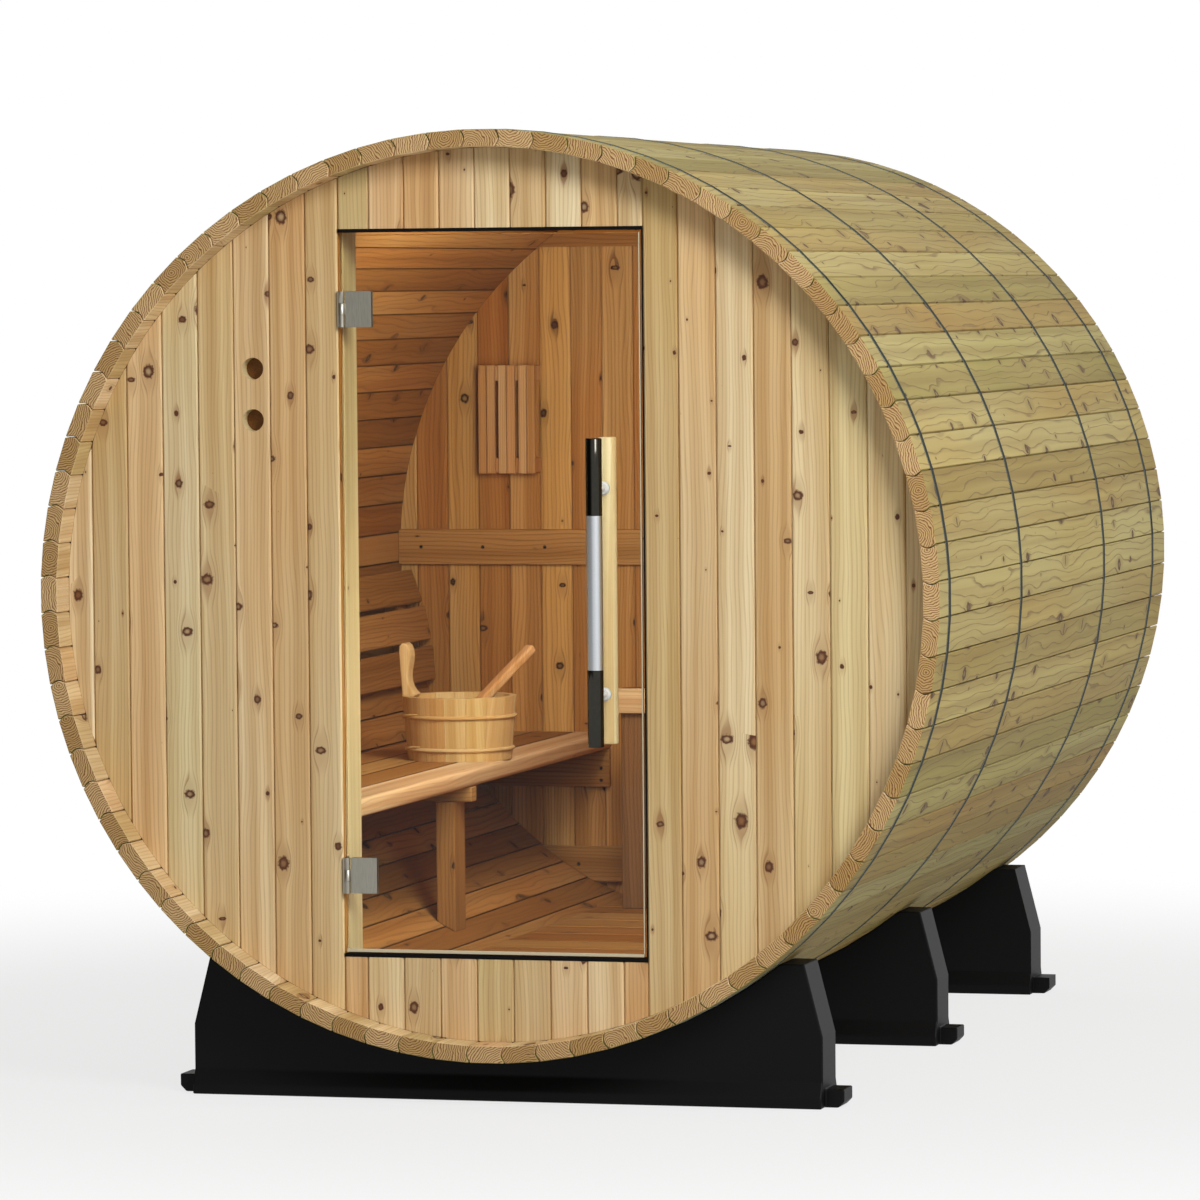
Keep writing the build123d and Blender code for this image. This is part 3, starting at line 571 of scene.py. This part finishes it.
def wall_boards(name, node, seams, face, low=None, high=None, vents=()):
    """Upright boards between seams, cut round to the staves or straight, grooved and joined by tongues."""
    bm = bmesh.new()
    groove, gap, tongue, shoulder = 0.0034, 0.0005, 0.003, 0.014
    arc_step, edge_margin = 0.03, 0.02
    front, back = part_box(node)[0].y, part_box(node)[1].y
    tuck = INNER_RADIUS - 0.0002

    def board(left, right, start, end):
        first, last = acos(left / tuck), acos(right / tuck)
        steps = max(1, round((first - last) / arc_step))
        turns = [first + (last - first) * step / steps for step in range(steps + 1)]
        arc = [(tuck * cos(turn), tuck * sin(turn)) for turn in turns]
        foot, head = [(left, low), (right, low)], [(left, high), (right, high)]
        if low is None:
            foot = [(x, AXIS_HEIGHT - rise) for x, rise in arc]
        if high is None:
            head = [(x, AXIS_HEIGHT + rise) for x, rise in arc]
        prism(bm, foot + head[::-1], start, end)

    for left, right in zip(seams, seams[1:]):
        board(left + gap, right - gap, front, back)
    upright = [e for e in bm.edges if abs((e.verts[0].co - e.verts[1].co).normalized().z) > 0.99999
                  and abs(e.verts[0].co.x) < tuck - edge_margin]
    bevel(bm, upright, groove, 1)
    for seam in seams[1:-1]:
        board(seam - tongue, seam + tongue, front + shoulder, back - shoulder)
    for board_face in bm.faces:
        board_face.material_index = 0 if board_face.normal.y * face > 0.5 else 1
        if abs(board_face.normal.y) < 0.9 and board_face.normal.y * face > 0.1:
            board_face.material_index = 0
    piece = finish_piece(name, bm, [WALL_OUTSIDE, WALL_INSIDE], "cabin", [node], 2)
    for x, z in vents:
        drill(piece, x, z, front, back)


def drill(piece, x, z, front, back):
    """Round vent hole through a wall, with its edge left sharp."""
    bm = bmesh.new()
    disc(bm, (x, (front + back) / 2, z), VENT_RADIUS, VENT_RADIUS, (back - front) * 2, 40)
    cutter_mesh = bpy.data.meshes.new("vent_cutter")
    bm.to_mesh(cutter_mesh)
    bm.free()
    cutter = bpy.data.objects.new("vent_cutter", cutter_mesh)
    scene.collection.objects.link(cutter)
    cut = piece.modifiers.new("vent", "BOOLEAN")
    cut.operation = "DIFFERENCE"
    cut.object = cutter
    bpy.context.view_layer.update()
    solid = bpy.data.meshes.new_from_object(piece.evaluated_get(bpy.context.evaluated_depsgraph_get()))
    piece.modifiers.clear()
    piece.data = solid
    bpy.data.objects.remove(cutter)


def vent_screens(vents, depth):
    """Fine wire mesh set deep in each vent hole, its rim just inside the wood."""
    bm = bmesh.new()
    radius = VENT_RADIUS + 0.0002
    for x, z in vents:
        disc(bm, (x, depth, z), radius, radius, 0.001, 40)
    finish_piece("vent_screens", bm, [MESH], "cabin")


def seam_list(low, high, first, pitch):
    """Seams between two edges, one of them at first and the rest a pitch apart."""
    place = first - floor((first - low) / pitch) * pitch
    inner = []
    while place < high - 0.004:
        if place > low + 0.004:
            inner.append(place)
        place += pitch
    return [low, *inner, high]


def end_walls():
    """Front wall round the doorway, and rear wall."""
    sill_low, sill_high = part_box("front_wall_sill")
    head_low, head_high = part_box("front_wall_head")
    edge = INNER_RADIUS - 0.0004
    vents = [(-0.489, AXIS_HEIGHT + 0.449), (-0.489, AXIS_HEIGHT + 0.347)]
    wall_boards("wall_front_left", "front_wall_left", seam_list(-edge, sill_low.x, -0.3795, BOARD), -1,
                vents=vents)
    vent_screens(vents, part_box("front_wall_left")[0].y + 0.030)
    wall_boards("wall_front_right", "front_wall_right", seam_list(sill_high.x, edge, 0.3808, 0.0752), -1)
    wall_boards("wall_front_head", "front_wall_head", seam_list(head_low.x, head_high.x, -0.2473, 0.0725), -1,
                low=head_low.z)
    wall_boards("wall_front_sill", "front_wall_sill", seam_list(sill_low.x, sill_high.x, -0.2633, BOARD), -1,
                high=sill_high.z)
    wall_boards("wall_rear", "rear_wall", seam_list(-edge, edge, 0.06, BOARD), 1)


# Doorway and door

def doorway():
    """Posts, black liner, glass with cream seals on two edges, and hinges."""
    for side in ("left", "right"):
        cedar_node(f"post_{side}", f"doorway_post_{side}", 2, PALE_POST, 0.003)
    bm = node_mesh("doorway_liner")
    ease_edges(bm, 0.0005, 1)
    finish_piece("doorway_seal", bm, [RUBBER], "cabin", ["doorway_liner"])
    bm = node_mesh("door_glass")
    ease_edges(bm, 0.001, 1)
    finish_piece("glass_pane", bm, [GLASS], "door", ["door_glass"])
    low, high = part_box("door_glass")
    bm = bmesh.new()
    lip, top = 0.001, low.z + 0.004
    front, back = low.y - lip, high.y + lip
    block(bm, (low.x + lip, front, low.z - 0.002), (high.x - lip, back, top), 0.0008)
    block(bm, (high.x - lip, front, top), (high.x + lip, back, high.z), 0.0006)
    finish_piece("glass_edge_seals", bm, [VINYL], "door")
    for place in ("lower", "upper"):
        for part, body in (("wall", "cabin"), ("door", "door")):
            node = f"hinge_{part}_leaf_{place}"
            bm = node_mesh(node)
            ease_edges(bm, 0.0005, 1, 40)
            finish_piece(f"hinge_{part}_plate_{place}", bm, [HINGE_STEEL], body, [node])


def round_bar(bm, x, y, heights, radius, ease, segments=48):
    """Upright round bar with rings at the given heights and rounded ends."""
    bottom, top = heights[0], heights[-1]
    levels = [(bottom, radius - ease), (bottom + ease * 0.3, radius - ease * 0.3), (bottom + ease, radius)]
    levels += [(z, radius) for z in heights[1:-1]]
    levels += [(top - ease, radius), (top - ease * 0.3, radius - ease * 0.3), (top, radius - ease)]
    bridge_circles(bm, [(Matrix.Translation((x, y, z)), r) for z, r in levels], segments)


def bridge_circles(bm, circles, segments):
    """Closed round form through circles, each given by a place and a radius."""
    rings = []
    for place, radius in circles:
        rings.append(bmesh.ops.create_circle(bm, cap_ends=False, segments=segments, radius=radius,
                                             matrix=place)["verts"])
    for low, high in zip(rings, rings[1:]):
        edges = [e for ring in (low, high) for v in ring for e in v.link_edges if e.other_vert(v) in ring]
        bmesh.ops.bridge_loops(bm, edges=list(set(edges)))
    for ring in (rings[0], rings[-1]):
        bm.faces.new(ring)
    bmesh.ops.recalc_face_normals(bm, faces=bm.faces)


def handle():
    """Steel tube with a satin middle outside, wooden bar inside, white spacers and round washers."""
    low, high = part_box("handle_tube")
    x, y = (low.x + high.x) / 2, (low.y + high.y) / 2
    polished = 0.151
    bm = bmesh.new()
    round_bar(bm, x, y, [low.z, low.z + polished, high.z - polished, high.z], (high.x - low.x) / 2, 0.002)
    for face in bm.faces:
        face.smooth = abs(face.normal.z) < 0.9
        middle = low.z + polished < face.calc_center_median().z < high.z - polished
        # Polished ends carry the painted dark reflection
        face.material_index = 1 if middle else 0
    finish_piece("handle_steel_tube", bm, [POLISHED_PAINTED_DARK_REFLECTION, SATIN], "door", ["handle_tube"])
    bar_low, bar_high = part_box("handle_bar")
    bm = bmesh.new()
    round_bar(bm, (bar_low.x + bar_high.x) / 2, (bar_low.y + bar_high.y) / 2, [bar_low.z, bar_high.z],
              (bar_high.x - bar_low.x) / 2, 0.003)
    for face in bm.faces:
        face.smooth = abs(face.normal.z) < 0.9
    finish_piece("handle_wooden_bar", bm, [HARDWOOD], "door", ["handle_bar"], 2)
    bm = node_mesh("handle_spacers")
    spacer_low, spacer_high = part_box("handle_spacers")
    glass_low, glass_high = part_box("door_glass")
    foot, top, thickness, spacer_radius = 0.014, 0.0105, 0.006, 0.008
    for z in (spacer_low.z + spacer_radius, spacer_high.z - spacer_radius):
        disc(bm, (x, glass_low.y - thickness / 2, z), foot, top, thickness, 32)
        disc(bm, (x, glass_high.y + thickness / 2, z), top, foot, thickness, 32)
    ease_edges(bm, 0.0008, 2, 50)
    finish_piece("handle_washers", bm, [WASHER], "door", ["handle_spacers"])


# Inside the cabin

def shade():
    """Lamp shade: three slats, each grooved down its middle, in front of two rails."""
    low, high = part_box("lamp_shade")
    gap, groove, slats, rail_height = 0.009, 0.0024, 3, 0.034
    width = (high.x - low.x + gap) / slats
    half = (width - gap - groove) / 2
    slat_back = low.y + 0.010
    bm = bmesh.new()
    for number in range(slats):
        left = low.x + number * width
        right = left + width - gap
        for start in (left, left + half + groove):
            block(bm, (start, low.y, low.z), (start + half, slat_back, high.z), 0.0012)
        block(bm, (left + 0.004, low.y + 0.0065, low.z + 0.001), (right - 0.004, slat_back, high.z - 0.001))
    for bottom in (low.z + 0.002, high.z - 0.002 - rail_height):
        block(bm, (low.x + 0.001, slat_back, bottom), (high.x - 0.001, high.y, bottom + rail_height), 0.001)
    finish_piece("shade_slats", bm, [SLAT_PINE], "cabin", ["lamp_shade"], 2)


def fittings():
    """Bench, backrest, battens, grate and guard with eased edges, and the screws that show."""
    # Bench front board: its pale colour is a painted highlight
    cedar_node("bench_front", "bench_front_board", 1, PALE_WOOD_AND_HIGHLIGHT, 0.001)
    bm = node_mesh("bench_seat")
    ease_edges(bm, 0.004)
    for face in bm.faces:
        # Long sides of the seat boards take painted shade, so the gaps between them show dark
        face.material_index = 1 if abs(face.normal.x) > 0.6 else 0
    finish_piece("bench_boards", bm, [FITTING, SEAM_PAINTED_SHADE], "cabin", ["bench_seat"], 1)
    cedar_node("beams", "bench_beams", 0, FITTING)
    cedar_node("legs", "bench_legs", 2, FITTING)
    for place in ("front", "rear"):
        cedar_node(f"ledger_{place}", f"bench_ledger_{place}", 0, FITTING)
    cedar_node("backrest_slats", "backrest", 1, FITTING, 0.004)
    cedar_node("backrest_blocks", "backrest_supports", 2, FITTING)
    for place in ("bottom", "middle", "top"):
        cedar_node(f"batten_{place}", f"rear_batten_{place}", 0, FITTING)
        low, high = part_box(f"rear_batten_{place}")
        end_margin = 0.03
        count = floor(((high.x - low.x) / 2 - end_margin) / BOARD)
        places = [((2 * number - count) * BOARD, (low.z + high.z) / 2) for number in range(count + 1)]
        screw_heads(f"screws_batten_{place}", places, low.y)
    low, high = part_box("bench_ledger_rear")
    places = [(high.x - 0.02, low.z + 0.016), (high.x - 0.02, high.z - 0.045)]
    screw_heads("screws_ledger", places, low.y)
    board_pitch = 0.152
    cedar_node("grate", "floor_grate", 0, FITTING, 0.002, key=lambda centre: floor(centre.y / board_pitch))
    cedar_node("guard_top_rail", "guard_rail", 0, PALE_WOOD_AND_HIGHLIGHT)
    for side in ("left", "right"):
        # Guard uprights: their dark brown is painted shade
        cedar_node(f"guard_upright_{side}", f"guard_post_{side}", 2, POST_PAINTED_SHADE)


def bucket():
    """Pine bucket: sixteen staves, a bottom, two round hoops and one stave carried up as a handle."""
    low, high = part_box("bucket")
    middle = Vector(((low.x + high.x) / 2, (low.y + high.y) / 2, low.z))
    height, base, rim, wall, count = 0.140, 0.114, 0.126, 0.014, 16
    bm = bmesh.new()
    for number in range(count):
        start = tau * number / count
        turns = [start + tau / count * (0.004 + 0.992 * k / 4) for k in range(5)]
        ring = [(base * cos(a), base * sin(a)) for a in turns]
        ring += [((base - wall) * cos(a), (base - wall) * sin(a)) for a in reversed(turns)]
        verts = [bm.verts.new(middle + Vector((x, y, 0.0))) for x, y in ring]
        face = bm.faces.new(verts)
        grown = bmesh.ops.extrude_face_region(bm, geom=[face], use_keep_orig=True)
        top = [v for v in grown["geom"] if isinstance(v, bmesh.types.BMVert)]
        bmesh.ops.scale(bm, vec=(rim / base, rim / base, 1.0), space=Matrix.Translation(-middle), verts=top)
        bmesh.ops.translate(bm, vec=(0, 0, height), verts=top)
    bmesh.ops.recalc_face_normals(bm, faces=bm.faces)
    ease_edges(bm, 0.0006, 2, 50)
    bmesh.ops.create_cone(bm, cap_ends=True, segments=48, radius1=base - wall, radius2=base - wall + 0.0005,
                          depth=0.012, matrix=Matrix.Translation(middle + Vector((0, 0, 0.009))))
    ear = [(0.0, -0.03), (-0.001, 0.0), (-0.005, 0.05), (-0.008, 0.095), (-0.007, 0.107), (-0.002, 0.114),
           (0.006, 0.115), (0.013, 0.110), (0.017, 0.100), (0.019, 0.086), (0.017, 0.070), (0.014, 0.055),
           (0.013, 0.042), (0.014, 0.030), (0.018, 0.018), (0.025, 0.008), (0.033, 0.001), (0.014, -0.012),
           (0.013, -0.03)]
    left = middle.x - rim + 0.001
    ear_bm = bmesh.new()
    prism(ear_bm, [(left + x, middle.z + height + z) for x, z in ear], middle.y - 0.021, middle.y + 0.021)
    ease_edges(ear_bm, 0.004, 3, 60)
    ear_mesh = bpy.data.meshes.new("ear")
    ear_bm.to_mesh(ear_mesh)
    ear_bm.free()
    bm.from_mesh(ear_mesh)
    bpy.data.meshes.remove(ear_mesh)
    finish_piece("bucket_staves", bm, [PINE], "cabin", ["bucket"], 2)

    bm = bmesh.new()
    for rise in (0.025, 0.096):
        radius = base + (rim - base) * rise / height + 0.0005
        place = middle + Vector((radius, 0, rise))
        made = bmesh.ops.create_circle(bm, cap_ends=False, segments=10, radius=0.0045,
                                       matrix=Matrix.Translation(place) @ TO_FRONT)
        edges = list({e for v in made["verts"] for e in v.link_edges})
        bmesh.ops.spin(bm, geom=made["verts"] + edges, cent=middle, axis=(0, 0, 1), angle=tau, steps=64,
                       use_merge=True)
        circles = []
        for step in range(9):
            share = step / 8
            turn = Matrix.Rotation(radians(196 + 42 * share), 4, "Z")
            lifted = Vector((radius + 0.0025, 0, rise - 0.003 + 0.010 * share))
            place = Matrix.Translation(middle) @ turn @ Matrix.Translation(lifted) @ TO_FRONT
            circles.append((place, 0.0012 + 0.0032 * sin(pi * share)))
        bridge_circles(bm, circles, 10)
    bmesh.ops.recalc_face_normals(bm, faces=bm.faces)
    for face in bm.faces:
        face.smooth = True
    finish_piece("bucket_hoops", bm, [PINE], "cabin", grain=0)

    bm = bmesh.new()
    foot, tip = Vector((-0.045, -0.031, 0.026)), Vector((0.115, 0.180, 0.236))
    lean = (tip - foot).normalized()
    sideways = Vector((lean.y, -lean.x, 0)).normalized()
    turn = Matrix((sideways, lean.cross(sideways), lean)).transposed().to_4x4()
    bmesh.ops.create_cube(bm, size=1.0, matrix=Matrix.Translation(middle + foot) @ turn
                          @ Matrix.Diagonal((0.027, 0.020, (tip - foot).length, 1.0))
                          @ Matrix.Translation((0, 0, 0.5)))
    ease_edges(bm, 0.006, 3, 60)
    cup = middle + Vector((foot.x, foot.y, 0.0143))
    profile = [(0.0, 0.0), (0.028, 0.0), (0.028, 0.026), (0.025, 0.026), (0.025, 0.003), (0.0, 0.003)]
    verts = [bm.verts.new(cup + Vector((x, 0, z))) for x, z in profile]
    edges = [bm.edges.new(pair) for pair in zip(verts, verts[1:])]
    bmesh.ops.spin(bm, geom=verts + edges, cent=cup, axis=(0, 0, 1), angle=tau, steps=32, use_merge=True)
    bmesh.ops.remove_doubles(bm, verts=bm.verts, dist=1e-6)
    bmesh.ops.recalc_face_normals(bm, faces=bm.faces)
    finish_piece("ladle_stick", bm, [SLAT_PINE], "cabin", ["ladle"], 2)


# Camera, light and floor

def camera():
    """Camera at the photograph's viewing angle."""
    yaw, pitch, roll = -0.2638, 0.0492, -0.0086
    place = Vector((3.5274, -12.1752 + FRONT_RIM, 1.6224))
    focal_pixels = 6489.75
    image_pixels = 1200
    forward = Vector((sin(yaw) * cos(pitch), cos(yaw) * cos(pitch), -sin(pitch)))
    right = Vector((cos(yaw), -sin(yaw), 0.0))
    up = right.cross(forward)
    right_rolled = right * cos(roll) + up * sin(roll)
    up_rolled = up * cos(roll) - right * sin(roll)
    data = bpy.data.cameras.new("photo_camera")
    data.sensor_width = 36.0
    data.lens = 36.0 * focal_pixels / image_pixels
    data.clip_end = 100.0
    view = bpy.data.objects.new("photo_camera", data)
    turn = Matrix((right_rolled, up_rolled, -forward)).transposed().to_4x4()
    view.matrix_world = Matrix.Translation(place) @ turn
    scene.collection.objects.link(view)
    scene.camera = view


def lamp(name, place, aim, size, watts, inside=False):
    """Soft square lamp that points at a place."""
    data = bpy.data.lights.new(name, "AREA")
    data.size = size
    data.energy = watts
    light = bpy.data.objects.new(name, data)
    light.location = place
    light.rotation_euler = (Vector(aim) - Vector(place)).to_track_quat("-Z", "Y").to_euler()
    light.visible_camera = False
    light.visible_transmission = False
    light.visible_glossy = not inside
    scene.collection.objects.link(light)


def studio():
    """Pale floor that keeps the shadow and fades to white, white background, soft lamps."""
    bm = bmesh.new()
    half_width, under_cradles = 9.0, 0.0005
    bmesh.ops.create_grid(bm, x_segments=1, y_segments=1, size=half_width,
                          matrix=Matrix.Translation((0, 0, -under_cradles)))
    mesh = bpy.data.meshes.new("studio_floor")
    bm.to_mesh(mesh)
    bm.free()
    ground = bpy.data.objects.new("studio_floor", mesh)
    scene.collection.objects.link(ground)
    material, tree, shader = new_material("floor pale")
    shader.inputs["Base Color"].default_value = linear("#b4b4b2")
    shader.inputs["Roughness"].default_value = 0.9
    shader.inputs["Specular IOR Level"].default_value = 0.0
    mesh.materials.append(material)
    rays = add(tree, "ShaderNodeLightPath").outputs
    place = add(tree, "ShaderNodeTexCoord").outputs["Object"]
    distance = add(tree, "ShaderNodeVectorMath", {0: place}, operation="LENGTH").outputs["Value"]
    far = add(tree, "ShaderNodeMapRange", {"Value": distance, "From Min": 1.5, "From Max": 4.0,
                                           "To Min": 0.76, "To Max": 1.0},
              interpolation_type="SMOOTHSTEP")
    mirrored = add(tree, "ShaderNodeMath", {0: rays["Is Glossy Ray"], 1: rays["Is Transmission Ray"]},
                   operation="MAXIMUM")
    seen = add(tree, "ShaderNodeMath", {0: rays["Is Camera Ray"], 1: mirrored}, operation="MAXIMUM")
    share = add(tree, "ShaderNodeMath", {0: seen, 1: far}, operation="MULTIPLY")
    white = add(tree, "ShaderNodeEmission", {"Color": linear("#ffffff"), "Strength": 1.0})
    mix = add(tree, "ShaderNodeMixShader", {0: share, 1: shader, 2: white})
    output = next(n for n in tree.nodes if n.type == "OUTPUT_MATERIAL")
    tree.links.new(mix.outputs[0], output.inputs["Surface"])

    world = bpy.data.worlds.new("studio")
    scene.world = world
    world.use_nodes = True
    tree = world.node_tree
    tree.nodes.clear()
    rays = add(tree, "ShaderNodeLightPath").outputs
    side = add(tree, "ShaderNodeSeparateXYZ", {0: add(tree, "ShaderNodeTexCoord").outputs["Generated"]})
    dim_side = add(tree, "ShaderNodeMapRange", {"Value": side, "From Min": -0.55, "From Max": -0.1,
                                                "To Min": 0.06, "To Max": 1.0})
    plain = add(tree, "ShaderNodeMath", {0: rays["Is Camera Ray"], 1: rays["Is Transmission Ray"]},
                operation="MAXIMUM")
    glossy = add(tree, "ShaderNodeMath", {0: rays["Is Glossy Ray"], 1: dim_side}, operation="MULTIPLY")
    lit = add(tree, "ShaderNodeBackground", {"Color": linear("#ffffff"), "Strength": 0.45})
    white = add(tree, "ShaderNodeBackground", {"Color": linear("#ffffff"), "Strength": 1.0})
    mirrored = add(tree, "ShaderNodeBackground", {"Color": linear("#ffffff"), "Strength": glossy})
    for_metal = add(tree, "ShaderNodeMixShader", {0: rays["Is Glossy Ray"], 1: lit, 2: mirrored})
    for_view = add(tree, "ShaderNodeMixShader", {0: plain, 1: for_metal, 2: white})
    add(tree, "ShaderNodeOutputWorld", {"Surface": for_view})
    lamp("front_lamp", (4.2, -5.3, 4.3), (0.2, -0.6, 1.0), 2.4, 350)
    lamp("side_lamp", (7.0, 1.0, 4.5), (0, 0, 1.0), 4.0, 90)
    lamp("rear_lamp", (-5.0, 5.0, 4.0), (0, 0, 1.0), 4.0, 120)
    lamp("cabin_lamp_top", (0.1, -0.5, 1.45), (-0.1, 1.1, 0.95), 0.4, 18, True)
    lamp("cabin_lamp_low", (0.2, -0.95, 0.95), (-0.5, 0.3, 0.55), 0.35, 5, True)


for panel in range(PANELS):
    stave_panel(panel)
bands()
cradles()
end_walls()
doorway()
handle()
shade()
fittings()
bucket()
camera()
studio()
